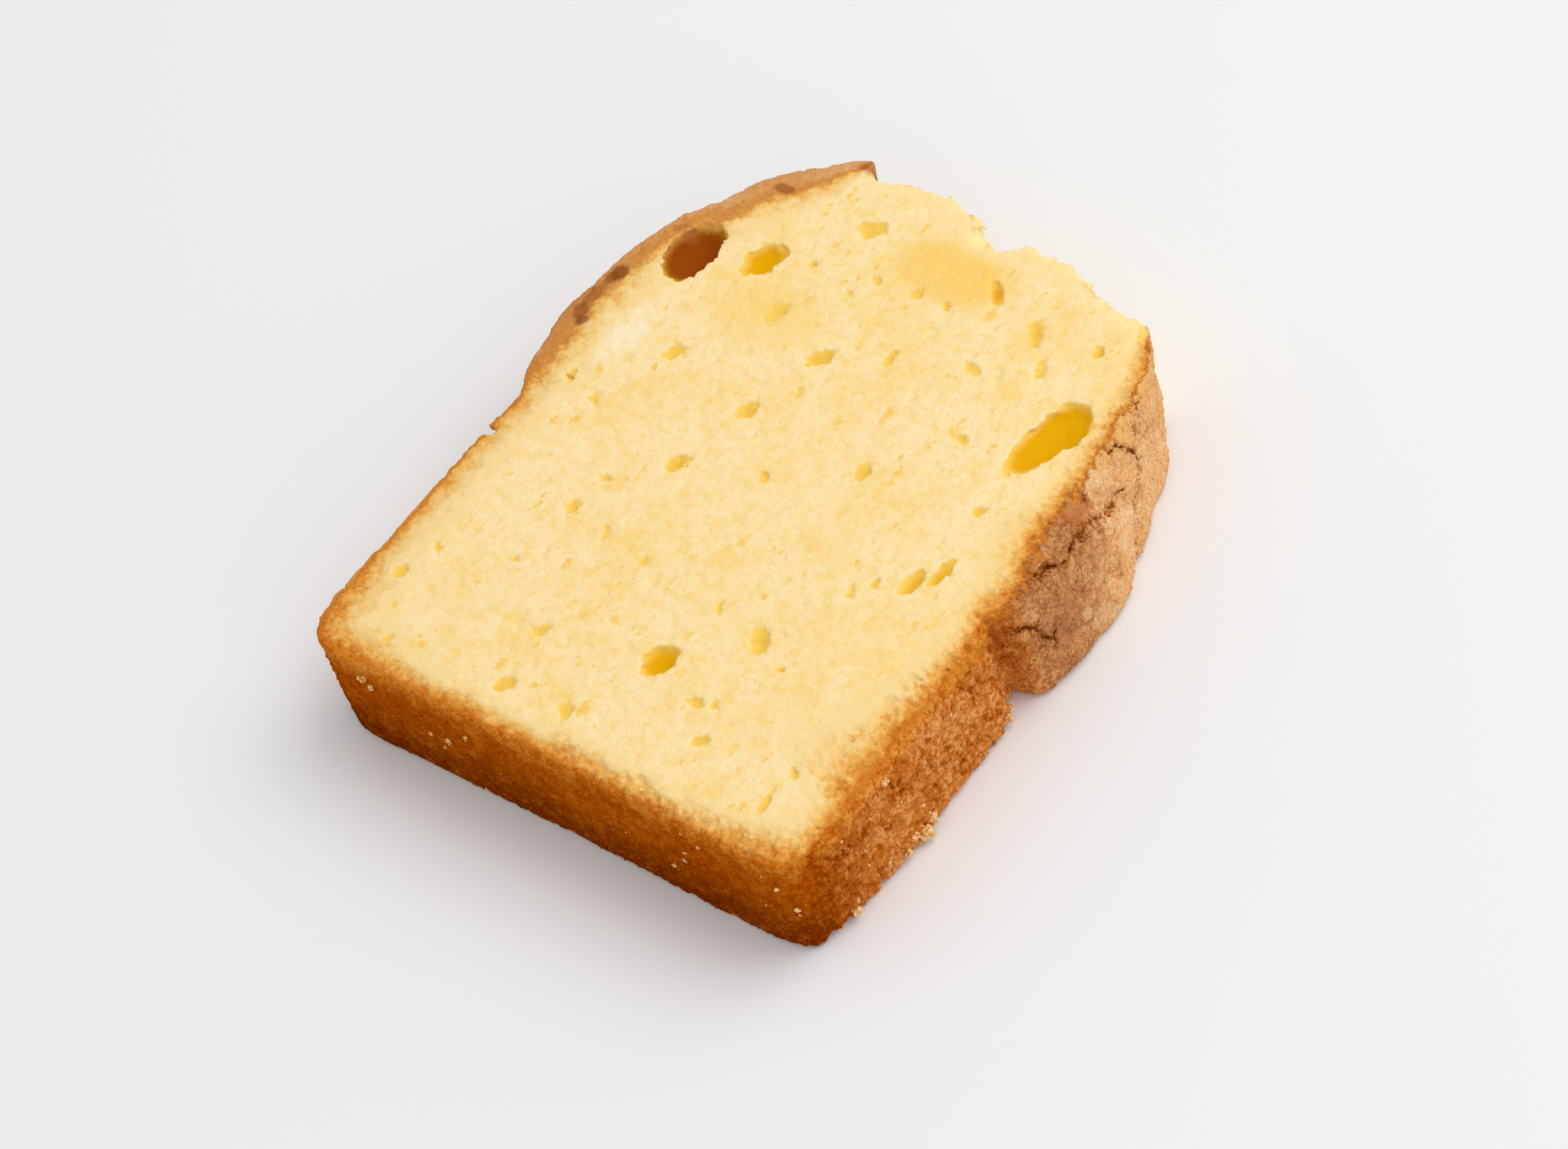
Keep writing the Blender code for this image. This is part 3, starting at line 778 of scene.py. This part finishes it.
def lumpy(wiring, grains, size, amount, tint):
    """Grains made real, their round shapes pushed out of true, with their finish."""
    grains = wiring.add("GeometryNodeRealizeInstances", {}, {"Geometry": grains})
    place = wiring.add("GeometryNodeInputPosition")
    push = wiring.noise(place, size, 1.0, 0.0, "Color") - (0.5, 0.5, 0.5)
    grains = wiring.add("GeometryNodeSetPosition", {}, {"Geometry": grains, "Offset": push * amount})
    grains = wiring.add("GeometryNodeSetMaterial", {}, {"Geometry": grains, "Material": tint})
    wiring.add("NodeGroupOutput", {}, {"Geometry": grains}, ())


drifts = strewn.noise(strewn.add("GeometryNodeInputPosition"), 4.0 * MM, 2.0, 0.4)
points, turn = strewn.add("GeometryNodeDistributePointsOnFaces", {}, {
    "Mesh": bed, "Density": density * drifts.rise(0.38, 0.62), "Seed": seed}, ("Points", "Rotation"))
ball = strewn.add("GeometryNodeMeshIcoSphere", {}, {"Radius": radius, "Subdivisions": 1}, "Mesh")
grains = strewn.add("GeometryNodeInstanceOnPoints", {}, {
    "Points": points, "Instance": ball, "Rotation": turn,
    "Scale": random_vector(strewn, (0.5, 0.5, 0.5), (1.8, 1.4, 1.1), seed + 5.0)})
lumpy(strewn, grains, 0.2 * MM, 0.30 * MM, tint)


def add_to_cake(name, mesh):
    keep_inside(mesh)
    piece = helper(name, mesh)
    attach(piece, "root")


for name, per_mm in GRAINS_PER_SQUARE_MM.items():
    mesh = run_tree(cake[name], strewn, {
        "Density": per_mm / MM ** 2, "Radius": GRAIN_RADIUS * MM, "Seed": 7, "Finish": crust_finish})
    mesh.shade_smooth()
    add_to_cake(name.replace("crust", "grains"), mesh)

# ---------------------------------------------------------------------------------------------
# Crust flakes: thin chips of the dome's dry skin that lifted where it cracked. They lie in a
# ragged row on both sides of every crack, each tilted its own way.
# ---------------------------------------------------------------------------------------------

flaker, (lines, ground, chip, seed, tint) = geometry_tree("lifted_flakes", (
    ("Ground", "Object"), ("Chip", "Float"), ("Seed", "Int"), ("Finish", "Material")))
skin_now = flaker.add("GeometryNodeObjectInfo", {}, {"Object": ground}, "Geometry")
runs = flaker.add("GeometryNodeMeshToCurve", {}, {"Mesh": lines})
points = flaker.add("GeometryNodeCurveToPoints", {"mode": "LENGTH"},
                    {"Curve": runs, "Length": 0.30 * MM}, "Points")
points = flaker.add("GeometryNodeSetPosition", {}, {
    "Geometry": points,
    "Offset": random_vector(flaker, [-0.7 * MM] * 3, [0.7 * MM] * 3, seed)})
spot = flaker.add("GeometryNodeInputPosition")
landing = flaker.add("GeometryNodeProximity", {"target_element": "FACES"},
                     {"Geometry": skin_now, "Sample Position": spot}, "Position")
outward = flaker.add("GeometryNodeSampleNearestSurface", {"data_type": "FLOAT_VECTOR"}, {
    "Mesh": skin_now, "Value": flaker.add("GeometryNodeInputNormal"), "Sample Position": spot}, "Value")
facing = flaker.add("FunctionNodeAlignRotationToVector", {"axis": "Z"},
                    {"Vector": outward + random_vector(flaker, [-0.4] * 3, [0.4] * 3, seed + 1.0)})
points = flaker.add("GeometryNodeSetPosition", {}, {"Geometry": points, "Position": landing})
ball = flaker.add("GeometryNodeMeshIcoSphere", {}, {"Radius": chip, "Subdivisions": 1}, "Mesh")
flakes = flaker.add("GeometryNodeInstanceOnPoints", {}, {
    "Points": points, "Instance": ball, "Rotation": facing,
    "Scale": random_vector(flaker, (0.5, 0.5, 0.15), (1.6, 1.2, 0.4), seed + 2.0)})
lumpy(flaker, flakes, 0.35 * MM, 0.35 * MM, tint)

mesh = run_tree(cracks, flaker, {"Ground": whole, "Chip": 0.42 * MM, "Seed": 3, "Finish": crust_finish})
mesh.shade_smooth()
add_to_cake("crust_flakes", mesh)

# ---------------------------------------------------------------------------------------------
# Stuck crumbs: pale crumbs from the knife that cling to the crust, most of them low on the
# right side. Each is a knot of small grains pressed onto the wall.
# ---------------------------------------------------------------------------------------------

# Place across the loaf, above its base and through the slice, and size, in millimetres.
STUCK_CRUMBS = (
    (40.2, 21.5, 2.4, 1.4), (40.2, 19.7, 1.6, 2.0), (40.2, 18.0, 2.4, 1.3), (40.0, 16.4, 1.4, 1.1),
    (39.8, 6.4, 1.4, 1.2), (39.7, 7.6, 2.6, 0.8), (40.1, 38.4, 1.6, 1.2), (40.0, 39.8, 2.6, 0.9),
    (37.0, 0.3, 8.4, 0.8), (-29.8, -0.4, 14.2, 1.3), (-28.9, -0.5, 13.1, 0.9), (-17.4, -0.6, 9.0, 0.8),
    (-18.6, -0.6, 7.2, 0.6), (-13.3, -0.4, 12.2, 0.7), (20.9, -0.8, 8.8, 0.8), (18.3, -0.8, 6.2, 0.6),
    (39.8, 17.1, 14.6, 1.0), (40.0, 20.8, 5.5, 0.8), (35.4, -0.2, 12.0, 0.7), (39.2, 10.5, 6.0, 0.7),
)
STRAY_CRUMBS = 30

crumb_maker = random.Random(12)
wall_tree = BVHTree.FromPolygons([vert.co for vert in whole.data.vertices],
                                 [face.vertices for face in whole.data.polygons])


def jitter(amount):
    return Vector([crumb_maker.gauss(0.0, amount) for axis in range(3)])


def stuck_crumb(shapes, place, size):
    """A knot of grains, sunk a little into the wall nearest to place."""
    middle, normal, index, gap = wall_tree.find_nearest(place)
    middle = middle + normal * (0.10 * size)
    for grain in range(8 + round(10 * size / MM)):
        grain_place = middle + jitter(0.19 * size)
        turned = Matrix.Rotation(crumb_maker.uniform(0.0, math.pi), 4, jitter(1.0).normalized())
        sized = Matrix.Diagonal([crumb_maker.uniform(0.12, 0.30) * size for axis in range(3)] + [1.0])
        bmesh.ops.create_icosphere(shapes, subdivisions=1, radius=1.0,
                                   matrix=Matrix.Translation(grain_place) @ turned @ sized)


shapes = bmesh.new()
for x_mm, up_mm, z_mm, size in STUCK_CRUMBS:
    stuck_crumb(shapes, Vector((x_mm * MM, BASE_Y + up_mm * MM, z_mm * MM)), size * MM)
for stray in range(STRAY_CRUMBS):
    beside = crumb_maker.choice((1.0, 1.0, -1.0))
    place = Vector((beside * 40.0 * MM, BASE_Y + crumb_maker.uniform(0.0, 42.0) * MM,
                    crumb_maker.uniform(0.5, 16.0) * MM))
    if crumb_maker.random() < 0.35:
        place = Vector((crumb_maker.uniform(-38.0, 38.0) * MM, low.y, place.z))
    stuck_crumb(shapes, place, crumb_maker.uniform(0.25, 0.6) * MM)
for vert in shapes.verts:
    vert.co += noise.noise_vector(vert.co / (0.35 * MM)) * (0.11 * MM)
mesh = bpy.data.meshes.new("stuck_crumbs")
shapes.to_mesh(mesh)
shapes.free()
mesh.shade_smooth()

pale = bpy.data.materials.new("pale_crumb")
pale.use_nodes = True
paint = Wiring(pale.node_tree)
shader = pale.node_tree.nodes["Principled BSDF"]
here = paint.add("ShaderNodeTexCoord", {}, {}, "Object") * (1.0 / MM)
toast = paint.noise(here, 0.8, 2.0).rise(0.35, 0.7)
tone = paint.add("ShaderNodeMix", {"data_type": "RGBA"}, {
    0: toast, 6: (*srgb(248, 212, 150), 1.0), 7: (*srgb(226, 156, 78), 1.0)}, 2)
paint.tree.links.new(tone.socket, shader.inputs["Base Color"])
shader.inputs["Roughness"].default_value = 0.5
shader.inputs["Specular IOR Level"].default_value = 0.1
mesh.materials.append(pale)
add_to_cake("stuck_crumbs", mesh)

for item in (skin, bubbles, cracks, whole):
    bpy.data.objects.remove(item, do_unlink=True)

# ---------------------------------------------------------------------------------------------
# The studio: a pale floor, a bright even room and two large soft lights, the stronger from
# above and to the right. The camera looks down on the slice from beyond its lower right corner.
# ---------------------------------------------------------------------------------------------

FLOOR_SIZE = 6.0
floor_mesh = bpy.data.meshes.new("floor")
side = 0.5 * FLOOR_SIZE
floor_mesh.from_pydata([(-side, -side, 0.0), (side, -side, 0.0), (side, side, 0.0), (-side, side, 0.0)],
                       [], [(0, 1, 2, 3)])
floor = helper("floor", floor_mesh)
floor_finish = bpy.data.materials.new("pale_floor")
floor_finish.use_nodes = True
floor_shader = floor_finish.node_tree.nodes["Principled BSDF"]
floor_shader.inputs["Base Color"].default_value = (0.88, 0.88, 0.885, 1.0)
floor_shader.inputs["Roughness"].default_value = 0.8
floor_mesh.materials.append(floor_finish)

lens = bpy.data.cameras.new("camera")
lens.lens = 113.94
lens.sensor_width = 36.0
camera = bpy.data.objects.new("camera", lens)
camera.location = (0.32885, -0.24995, 0.47122)
camera.rotation_euler = [math.radians(angle) for angle in (39.198, 13.642, 37.083)]
bpy.context.scene.collection.objects.link(camera)
bpy.context.scene.camera = camera

world = bpy.data.worlds.new("bright_room")
world.use_nodes = True
world.node_tree.nodes["Background"].inputs["Color"].default_value = (1.0, 1.0, 1.0, 1.0)
world.node_tree.nodes["Background"].inputs["Strength"].default_value = 0.62
bpy.context.scene.world = world


def softbox(name, place, size, power):
    light = bpy.data.lights.new(name, "AREA")
    light.shape = "SQUARE"
    light.size = size
    light.energy = power
    item = bpy.data.objects.new(name, light)
    item.location = place
    item.rotation_euler = (-Vector(place)).to_track_quat("-Z", "Y").to_euler()
    bpy.context.scene.collection.objects.link(item)


softbox("key", (0.35, 0.55, 0.95), 0.9, 6.0)
softbox("fill", (0.9, -0.4, 0.6), 0.9, 1.6)

bpy.context.scene.view_settings.view_transform = "Standard"
bpy.context.scene.view_settings.look = "None"
